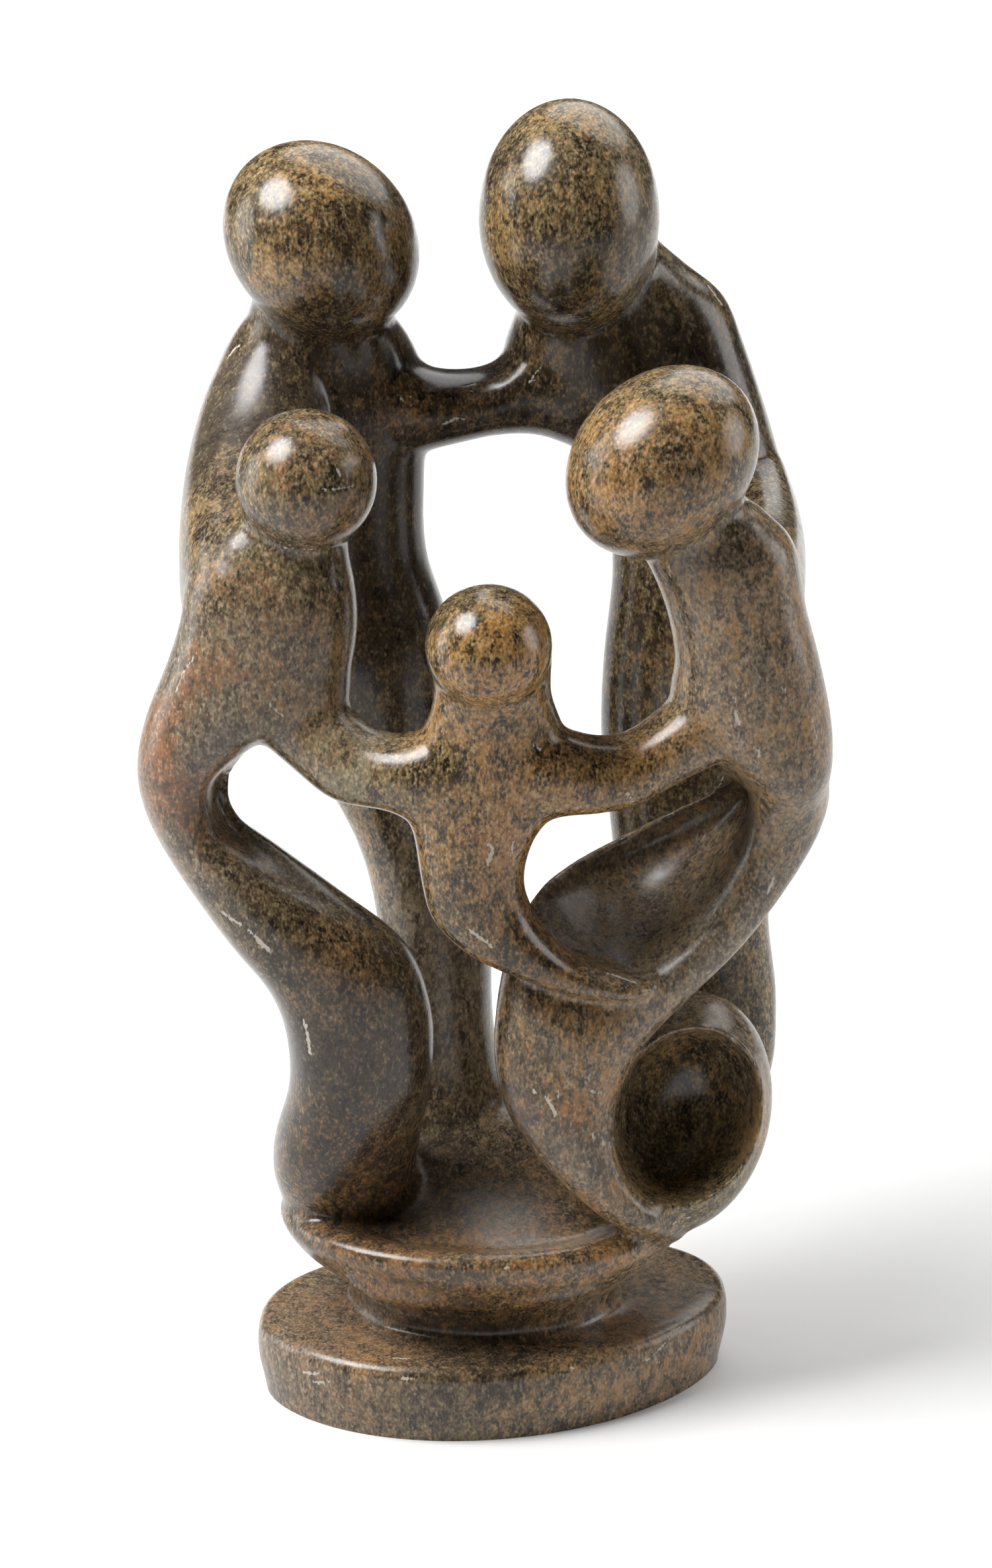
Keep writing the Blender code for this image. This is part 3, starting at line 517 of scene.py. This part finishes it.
# Scratches, chips and worn spots: the path in the photograph's pixels, half width in mm and
# depth in mm
MARKS = {
    "right_child_arc": (((1103, 1067), (1127, 1052), (1174, 1042), (1188, 1044)), 0.30, 0.10),
    "right_child_arc_end": (((1186, 1047), (1212, 1064), (1230, 1093), (1236, 1122)), 0.26, 0.08),
    "right_child_scuff_high": (((1110, 1073), (1117, 1093)), 0.48, 0.08),
    "right_child_scuff_low": (((1108, 1098), (1103, 1120)), 0.40, 0.08),
    "right_child_fleck": (((1146, 1135), (1148, 1144)), 0.46, 0.10),
    "right_child_hip_fleck": (((1169, 1331), (1160, 1354)), 0.56, 0.12),
    "right_child_neck_fleck": (((1012, 856), (1014, 880)), 0.35, 0.10),
    "left_child_chest_scratch": (((375, 1044), (398, 1059), (426, 1082)), 0.34, 0.10),
    "left_child_back_scratch": (((299, 987), (285, 1006), (274, 1022)), 0.30, 0.10),
    "left_child_back_scratch_low": (((273, 1027), (266, 1046)), 0.24, 0.08),
    "left_child_head_scratch": (((487, 740), (510, 740), (535, 735)), 0.28, 0.08),
    "left_child_head_fleck": (((509, 710), (514, 719)), 0.40, 0.08),
    "left_child_head_top": (((445, 620), (463, 620)), 0.24, 0.05),
    "left_child_collar": (((429, 828), (472, 831)), 0.30, 0.05),
    "left_child_ridge": (((337, 1381), (363, 1399)), 0.62, 0.18),
    "left_child_ridge_mid": (((377, 1409), (409, 1441)), 0.68, 0.18),
    "left_child_ridge_low": (((458, 1542), (465, 1568), (468, 1595)), 0.54, 0.15),
    "small_child_spot": (((691, 1239), (693, 1242)), 0.51, 0.15),
    "small_child_scuff": (((732, 1269), (744, 1284), (738, 1307)), 0.59, 0.12),
    "small_child_scuff_right": (((777, 1274), (773, 1294)), 0.43, 0.10),
    "small_child_edge": (((709, 1407), (726, 1418), (744, 1433)), 0.54, 0.12),
    "small_child_arm_fleck": (((808, 1128), (816, 1134)), 0.40, 0.10),
    "right_arm_fleck": (((950, 1201), (956, 1213)), 0.46, 0.10),
    "bridge_fleck": (((604, 598), (608, 606)), 0.46, 0.12),
    "bridge_line": (((620, 598), (624, 621)), 0.22, 0.08),
    "bridge_low": (((678, 640), (690, 632), (704, 635)), 0.34, 0.10),
    "bridge_rim": (((713, 572), (715, 591)), 0.22, 0.08),
    "bridge_rim_cross": (((703, 584), (719, 580)), 0.22, 0.08),
    "bridge_right": (((802, 578), (809, 565), (816, 557)), 0.26, 0.08),
    "left_parent_shoulder_worn": (((344, 541), (352, 530), (362, 523)), 0.46, 0.10),
    "right_parent_shoulder_worn": (((1072, 434), (1082, 447), (1091, 460)), 0.48, 0.12),
    "right_parent_arm_worn": (((1184, 697), (1186, 714)), 0.35, 0.08),
    "right_parent_leg_scratch": (((1123, 1490), (1141, 1479), (1161, 1468)), 0.34, 0.10),
    "right_parent_leg_scratch_low": (((1127, 1499), (1146, 1492)), 0.26, 0.08),
    "trough_tick": (((937, 1359), (952, 1362)), 0.24, 0.06),
    "trough_worn": (((916, 1471), (937, 1478), (963, 1487)), 0.51, 0.05),
    "ribbon_scuff": (((802, 1649), (818, 1656), (833, 1672), (840, 1689)), 0.48, 0.12),
    "ribbon_scuff_side": (((835, 1641), (844, 1658)), 0.35, 0.08),
    "ribbon_flecks": (((898, 1717), (911, 1727), (924, 1734)), 0.59, 0.12),
    "ribbon_fleck_high": (((933, 1542), (932, 1555)), 0.35, 0.08),
    "ribbon_fleck_mid": (((894, 1651), (916, 1656)), 0.46, 0.08),
    "ring_chip": (((1107, 1571), (1110, 1577)), 0.62, 0.20),
    "ring_edge": (((1155, 1681), (1153, 1708), (1146, 1736)), 0.35, 0.08),
    "ring_low": (((1020, 1850), (1044, 1841)), 0.43, 0.10),
    "dish_spot": (((668, 1850), (670, 1853)), 0.46, 0.15),
    "dish_spot_low": (((763, 1914), (765, 1918)), 0.51, 0.15),
    "dish_spot_right": (((814, 1869), (816, 1874)), 0.35, 0.10),
    "plinth_left_chip": (((458, 2076), (479, 2078)), 0.46, 0.12),
    "plinth_left_chip_low": (((476, 2091), (497, 2090)), 0.38, 0.10),
    "plinth_dot_left": (((554, 2093), (556, 2094)), 0.51, 0.15),
    "plinth_rim_scuff": (((606, 2057), (627, 2048)), 0.51, 0.10),
    "plinth_rim_scuff_low": (((608, 2086), (627, 2084)), 0.40, 0.10),
    "plinth_dot_low": (((479, 2111), (480, 2113)), 0.43, 0.12),
    "plinth_dot_right": (((863, 2068), (866, 2070)), 0.48, 0.15),
    "plinth_right_line": (((980, 2057), (1003, 2035), (1029, 2007)), 0.26, 0.08),
    "plinth_right_line_low": (((991, 2066), (1015, 2042)), 0.22, 0.06),
}
MARK_REACH = 3  # a mark's field fades out over this many half widths
MARK_FLANK = 1.5  # the mark has its full depth where the field is above 1 over this
MARK_STEP = 0.0003  # a mark's path is followed in steps of at most this
WEAR_EDGES = (0.0010, 0.0005)  # near a mark, edges longer than each of these are halved in turn
WEAR_MARGIN = 0.25  # how much wider than the mark the finer mesh is taken, in mm


def figures(bm):
    for centre, halves, lean in HEADS.values():
        ellipsoid(bm, centre, halves, lean)
    for name, rows in FORMS.items():
        sweep(bm, rows, OPEN_EDGE.get(name, -1))
    ellipsoid(bm, *CURL)
    roll(bm)
    dish(bm)
    plinth(bm)


def cup(bm):
    ellipsoid(bm, *CUP)


def below_the_floor(bm):
    """A block that cuts the underside flat."""
    size = PLINTH_LENGTH * 2
    bmesh.ops.create_cube(bm, size=size, matrix=Matrix.Translation((0, 0, -size / 2)))


def piece(name, fill):
    """A new object of the mesh that the function fills in."""
    mesh = bpy.data.meshes.new(name)
    bm = bmesh.new()
    fill(bm)
    bmesh.ops.recalc_face_normals(bm, faces=bm.faces)
    bm.to_mesh(mesh)
    bm.free()
    made = bpy.data.objects.new(name, mesh)
    bpy.context.scene.collection.objects.link(made)
    return made


def modifier(owner, name, kind, **settings):
    made = owner.modifiers.new(name, kind)
    for key, value in settings.items():
        setattr(made, key, value)


def apply_modifiers(owner):
    """Works the modifiers into the owner's mesh."""
    depsgraph = bpy.context.evaluated_depsgraph_get()
    mesh = bpy.data.meshes.new_from_object(owner.evaluated_get(depsgraph))
    owner.modifiers.clear()
    owner.data = mesh


def carve():
    """The group's mesh at the fine grain, fused, hollowed and polished."""
    group = piece("family_group", figures)
    cutters = [piece(fill.__name__, fill) for fill in (cup, below_the_floor)]
    modifier(group, "fuse", "REMESH", mode="VOXEL", voxel_size=GRAIN)
    modifier(group, "hollow", "BOOLEAN", operation="DIFFERENCE", object=cutters[0])
    modifier(group, "reskin", "REMESH", mode="VOXEL", voxel_size=GRAIN)
    # Four passes at this factor smooth over about one voxel, and the reach grows as their root
    passes = round(4 * (POLISH / GRAIN) ** 2)
    modifier(group, "polish", "SMOOTH", factor=0.5, iterations=passes)
    apply_modifiers(group)
    triangles = 2 * len(group.data.polygons)
    modifier(group, "facets", "DECIMATE", ratio=FACETS / triangles)
    modifier(group, "flat", "BOOLEAN", operation="DIFFERENCE", object=cutters[1])
    apply_modifiers(group)
    for cutter in cutters:
        bpy.data.objects.remove(cutter)
    return group


# Colours are linear
# PITCH is also the colour that the painted shade of the dark tone draws towards
PITCH = (0.008, 0.006, 0.005, 1)  # black grains
UMBER = (0.054, 0.034, 0.019, 1)  # the ground between the grains
DUSK = (0.108, 0.083, 0.058, 1)  # the ground where the stone is grey
OLIVE = (0.196, 0.152, 0.074, 1)  # the commonest grains
OCHRE = (0.368, 0.196, 0.057, 1)  # warm grains
TAUPE = (0.285, 0.221, 0.154, 1)  # grey grains
SAND = (0.518, 0.410, 0.270, 1)  # the palest grains
GREEN = (0.172, 0.190, 0.127, 1)
RUST = (0.231, 0.090, 0.040, 1)
SCAR = (0.520, 0.480, 0.410, 1)  # stone dust in scratches and chips

# The stone's noises: size in mm, detail, roughness, distortion
NOISES = {
    "speck": (0.9, 1.0, 0.5, 0.0),
    "grain": (2.4, 3.0, 0.75, 0.4),
    "hue": (1.9, 2.0, 0.7, 0.4),
    "patch": (6.0, 3.0, 0.65, 0.6),
    "cloud": (30.0, 2.0, 0.5, 0.0),
}
BEDDING = (1, 1, 0.6)  # all but the clouds are a little longer up and down
ASIDE = (0.3, 0.1, 0.2)  # keeps hue and patch apart from speck and grain

# What each value starts from, and how much each tone and then each noise adds to it
VALUES = {
    # The dark tone is painted shade: it takes the light and the blackness down
    "light": ("grain", (("dark", -0.13), ("ochre", 0.03)),
              (("speck", 0.60), ("patch", 0.35), ("cloud", 0.35))),
    "warmth": (0.36, (("ochre", 0.30),), (("cloud", 0.5), ("patch", 0.8), ("hue", 0.9))),
    "greyness": (0.25, (("taupe", 0.45),), (("hue", 1.3),)),
    "redness": ("cloud", (), (("patch", 0.5), ("hue", 0.6))),
    "blackness": ("patch", (("dark", -0.04),), (("speck", 0.5), ("hue", 0.8))),
    "wear": ("scar", (), (("hue", 0.8), ("speck", 1.1))),
}
# From where to where a value brings its colour in
RAMPS = {
    "greyness": (0.2, 0.8),
    "warmth": (0.35, 0.75),
    "greenness": (0.38, 0.62),
    "redness": (0.36, 0.58),
    "light": (0.35, 0.62),
    "paleness": (0.62, 0.98),
    "blackness": (0.44, 0.24),
    "wear": (0.56, 0.80),
}
PALE_SPECK = 0.9  # how much the specks add to the light to make paleness
PALE_SHARE = 0.45
DUSK_SHARE = 0.75  # of the taupe
BLACK_SHARE = (-0.40, 0.80)  # per taupe, and without taupe
# How far the painted shade of the dark tone draws the colour towards black
SHADE_SHARE = 0.42
WEAR_SHARE = 0.85

GLOSS = (0.3, 0.7, 0.17, 0.27)  # patch from and to, roughness from and to
GREY_ROUGHNESS = 0.08  # more where the stone is taupe
WORN_ROUGHNESS = 0.4  # more where it is worn
STONE_IOR = 1.5
BUMP = {"Strength": 0.10, "Distance": 0.0004}  # the grains stand out a little


class Nodes:
    """Adds nodes to a material's tree and joins them."""

    def __init__(self, material):
        material.use_nodes = True
        self.tree = material.node_tree
        self.shader = self.tree.nodes["Principled BSDF"]

    def add(self, kind, links=(), **settings):
        node = self.tree.nodes.new(kind)
        for key, value in settings.items():
            setattr(node, key, value)
        for socket, value in dict(links).items():
            self.set(node, socket, value)
        return node

    def set(self, node, socket, value):
        if isinstance(value, bpy.types.NodeSocket):
            self.tree.links.new(value, node.inputs[socket])
        else:
            node.inputs[socket].default_value = value

    def math(self, operation, a, b, c=0.0):
        return self.add("ShaderNodeMath", {0: a, 1: b, 2: c}, operation=operation).outputs[0]

    def times(self, a, b):
        return self.math("MULTIPLY", a, b)

    def plus(self, rest, value, amount):
        return self.math("MULTIPLY_ADD", value, amount, rest)

    def plus_noise(self, rest, noise, amount):
        """The rest with that much of the noise, which is taken to lie round 0."""
        return self.plus(rest, self.math("SUBTRACT", noise, 0.5), amount)

    def mapped(self, coordinates, **settings):
        return self.add("ShaderNodeMapping", {"Vector": coordinates, **settings}).outputs[0]

    def channels(self, name):
        """The three channels of a colour that the mesh carries."""
        colour = self.add("ShaderNodeAttribute", attribute_name=name).outputs["Color"]
        parts = self.add("ShaderNodeSeparateColor", {"Color": colour}).outputs
        return parts["Red"], parts["Green"], parts["Blue"]

    def noise(self, coordinates, size, detail, rough, distortion):
        """Noise whose features are about that many millimetres, as a value round 0.5."""
        links = {"Vector": coordinates, "Scale": 1000 / size, "Detail": detail}
        links.update({"Roughness": rough, "Distortion": distortion})
        return self.add("ShaderNodeTexNoise", links).outputs["Fac"]

    def ramp(self, value, low, high, smooth=True):
        return self.add(
            "ShaderNodeMapRange",
            {"Value": value, "From Min": low, "From Max": high},
            interpolation_type="SMOOTHSTEP" if smooth else "LINEAR",
        ).outputs["Result"]

    def mix(self, share, a, b):
        node = self.add("ShaderNodeMix", data_type="RGBA")
        self.set(node, 0, share)
        self.set(node, 6, a)
        self.set(node, 7, b)
        return node.outputs[2]


def serpentine():
    """Polished stone: a dark ground, grains of several colours, pale wear, and painted shade."""
    material = bpy.data.materials.new("polished_serpentine")
    n = Nodes(material)
    spot = n.add("ShaderNodeTexCoord").outputs["Object"]
    bedded = n.mapped(spot, Scale=BEDDING)
    aside = n.mapped(bedded, Location=ASIDE)
    spaces = {"speck": bedded, "grain": bedded, "hue": aside, "patch": aside, "cloud": spot}
    fields = {name: n.noise(spaces[name], *settings) for name, settings in NOISES.items()}
    fields["ochre"], fields["green"], fields["rust"] = n.channels("tones")
    # The marks colour carries the wear, the taupe and the painted shade of the dark tone
    fields["scar"], fields["taupe"], fields["dark"] = n.channels("marks")

    values = {}
    for name, (start, tones, noises) in VALUES.items():
        value = fields.get(start, start)
        for tone, amount in tones:
            value = n.plus(value, fields[tone], amount)
        for noise, amount in noises:
            value = n.plus_noise(value, fields[noise], amount)
        values[name] = value
    values["greenness"] = fields["patch"]
    values["paleness"] = n.plus_noise(values["light"], fields["speck"], PALE_SPECK)
    shares = {
        name: n.ramp(values[name], low, high, smooth=name != "light")
        for name, (low, high) in RAMPS.items()
    }

    grains = n.mix(shares["greyness"], OLIVE, TAUPE)
    grains = n.mix(shares["warmth"], grains, OCHRE)
    grains = n.mix(n.times(fields["green"], shares["greenness"]), grains, GREEN)
    grains = n.mix(n.times(fields["rust"], shares["redness"]), grains, RUST)
    ground = n.mix(n.times(fields["taupe"], DUSK_SHARE), UMBER, DUSK)
    body = n.mix(shares["light"], ground, grains)
    body = n.mix(n.times(shares["paleness"], PALE_SHARE), body, SAND)
    per_taupe, without = BLACK_SHARE
    black = n.times(shares["blackness"], n.plus(without, fields["taupe"], per_taupe))
    body = n.mix(black, body, PITCH)
    # Painted shade: the dark tone draws the colour towards black
    body = n.mix(n.times(fields["dark"], SHADE_SHARE), body, PITCH)
    worn = n.times(shares["wear"], WEAR_SHARE)
    n.set(n.shader, "Base Color", n.mix(worn, body, SCAR))

    sockets = zip(("From Min", "From Max", "To Min", "To Max"), GLOSS)
    rough = n.add("ShaderNodeMapRange", {"Value": fields["patch"], **dict(sockets)})
    rough = n.plus(rough.outputs["Result"], fields["taupe"], GREY_ROUGHNESS)
    n.set(n.shader, "Roughness", n.plus(rough, worn, WORN_ROUGHNESS))
    n.set(n.shader, "IOR", STONE_IOR)
    bump = n.add("ShaderNodeBump", {**BUMP, "Height": fields["grain"]})
    n.set(n.shader, "Normal", bump.outputs["Normal"])
    return material


def in_the_scene(name, data):
    made = bpy.data.objects.new(name, data)
    bpy.context.scene.collection.objects.link(made)
    return made


def camera():
    data = bpy.data.cameras.new("camera")
    data.lens = LENS
    data.sensor_width = SENSOR
    data.clip_start, data.clip_end = CAMERA_CLIP
    made = in_the_scene("camera", data)
    made.location = CAMERA_EYE
    made.rotation_euler = (math.pi / 2 - CAMERA_TILT, 0, 0)
    bpy.context.scene.camera = made


def softbox(name, position, target, size, power, spread):
    data = bpy.data.lights.new(name, "AREA")
    data.shape = "ELLIPSE"
    data.size, data.size_y = size
    data.energy = power
    data.spread = math.radians(spread)
    made = in_the_scene(name, data)
    made.location = position
    aim = Vector(target) - Vector(position)
    made.rotation_euler = aim.to_track_quat("-Z", "Y").to_euler()


def floor():
    mesh = bpy.data.meshes.new("floor")
    corners = [(x * FLOOR_HALF, y * FLOOR_HALF, 0) for x, y in ((-1, -1), (1, -1), (1, 1), (-1, 1))]
    mesh.from_pydata(corners, [], [(0, 1, 2, 3)])
    paper = bpy.data.materials.new("paper")
    paper.use_nodes = True
    shader = paper.node_tree.nodes["Principled BSDF"]
    for socket, value in PAPER.items():
        shader.inputs[socket].default_value = value
    mesh.materials.append(paper)
    in_the_scene("floor", mesh)


def room():
    """The light from all round, which grows towards the back."""
    world = bpy.data.worlds.new("studio")
    world.use_nodes = True
    nodes, links = world.node_tree.nodes, world.node_tree.links
    direction = nodes.new("ShaderNodeSeparateXYZ")
    links.new(nodes.new("ShaderNodeTexCoord").outputs["Generated"], direction.inputs[0])
    strength = nodes.new("ShaderNodeMapRange")
    strength.interpolation_type = "SMOOTHSTEP"
    for socket, value in zip(("From Min", "From Max", "To Min", "To Max"), WORLD):
        strength.inputs[socket].default_value = value
    links.new(direction.outputs["Y"], strength.inputs["Value"])
    links.new(strength.outputs["Result"], nodes["Background"].inputs["Strength"])
    bpy.context.scene.world = world


def studio():
    floor()
    room()
    for name, settings in SOFTBOXES.items():
        softbox(name, *settings)
    bpy.context.scene.view_settings.view_transform = "Standard"


def points_of(mesh):
    flat = np.empty(3 * len(mesh.vertices), np.float32)
    mesh.vertices.foreach_get("co", flat)
    return flat.reshape(-1, 3).astype(float)


def paint(mesh, name, red, green, blue):
    """Gives the mesh a colour per vertex."""
    layer = mesh.attributes.new(name, "FLOAT_COLOR", "POINT")
    colours = np.stack([red, green, blue, np.ones(len(red))], 1).clip(0, 1)
    layer.data.foreach_set("color", colours.astype(np.float32).ravel())


def on_the_stone(tree, px, py):
    """Where the camera's ray through that pixel of the photograph meets the stone."""
    across, up = px - IMAGE[0] / 2, IMAGE[1] / 2 - py
    ray = CAMERA_FORWARD * (LENS / SENSOR * IMAGE[1]) + Vector((across, 0, 0)) + CAMERA_UP * up
    return tree.ray_cast(CAMERA_EYE, ray.normalized())[0]


def path_places(tree, path):
    """The path on the stone, in short steps. A corner that misses the stone is left out."""
    corners = [on_the_stone(tree, px, py) for px, py in path]
    corners = [corner for corner in corners if corner]
    places = corners[:1]
    for a, b in zip(corners, corners[1:]):
        steps = max(int((b - a).length / MARK_STEP), 1)
        places += [a.lerp(b, (i + 1) / steps) for i in range(steps)]
    return np.array(places)


def scar_field(points, marks):
    """How near each point is to a mark, 1 on its line and 0 beyond its reach, and its depth."""
    field, depth = np.zeros(len(points)), np.zeros(len(points))
    for places, width, deep in marks:
        reach = MARK_REACH * width / 1000
        low, high = places.min(0) - reach, places.max(0) + reach
        near = np.flatnonzero(((points >= low) & (points <= high)).all(1))
        if not len(near):
            continue
        away = np.linalg.norm(points[near, None] - places[None], axis=2).min(1)
        value = (1 - away / reach).clip(0, 1)
        cut = deep / 1000 * (value * MARK_FLANK).clip(0, 1) ** 2
        field[near] = np.maximum(field[near], value)
        depth[near] = np.maximum(depth[near], cut)
    return field, depth


def wear(mesh):
    """Cuts the scratches and chips into the mesh and gives back how scarred each vertex is."""
    bm = bmesh.new()
    bm.from_mesh(mesh)
    tree = BVHTree.FromBMesh(bm)
    marks = [(path_places(tree, path), width, deep) for path, width, deep in MARKS.values()]
    marks = [mark for mark in marks if len(mark[0])]
    wider = [(places, width + WEAR_MARGIN, 0) for places, width, _ in marks]
    for longest in WEAR_EDGES:
        close = scar_field(np.array([v.co for v in bm.verts]), wider)[0] > 0
        edges = [
            e for e in bm.edges
            if close[e.verts[0].index] and close[e.verts[1].index] and e.calc_length() > longest
        ]
        bmesh.ops.subdivide_edges(bm, edges=edges, cuts=1, use_grid_fill=True)
        bmesh.ops.triangulate(bm, faces=[f for f in bm.faces if len(f.verts) > 4])
        bm.verts.index_update()
    bm.normal_update()
    field, depth = scar_field(np.array([v.co for v in bm.verts]), marks)
    for vertex, deep in zip(bm.verts, depth):
        if deep:
            vertex.co -= vertex.normal * deep
    bm.to_mesh(mesh)
    bm.free()
    return field


def tone_shares(points):
    """How much of each tone there is at each point. The dark tone is painted shade."""
    shares = np.zeros((len(points), 5))
    for centre, reach, amounts in TONES.values():
        away = np.linalg.norm(points - np.array(place(*centre)), axis=1) / (reach * SHARE)
        shares += np.exp(-(away**2))[:, None] * np.array(amounts)
    return shares.clip(0, 1).T


def main():
    group = carve()
    mesh = group.data
    mesh.materials.clear()
    mesh.materials.append(serpentine())
    scar = wear(mesh)
    mesh.shade_smooth()
    # The dark share is painted shade, carried in the marks colour beside the wear and the taupe
    ochre, green, rust, taupe, dark = tone_shares(points_of(mesh))
    paint(mesh, "tones", ochre, green, rust)
    paint(mesh, "marks", scar, taupe, dark)
    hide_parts("stone_family_group")
    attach(group, "root")
    camera()
    studio()


main()
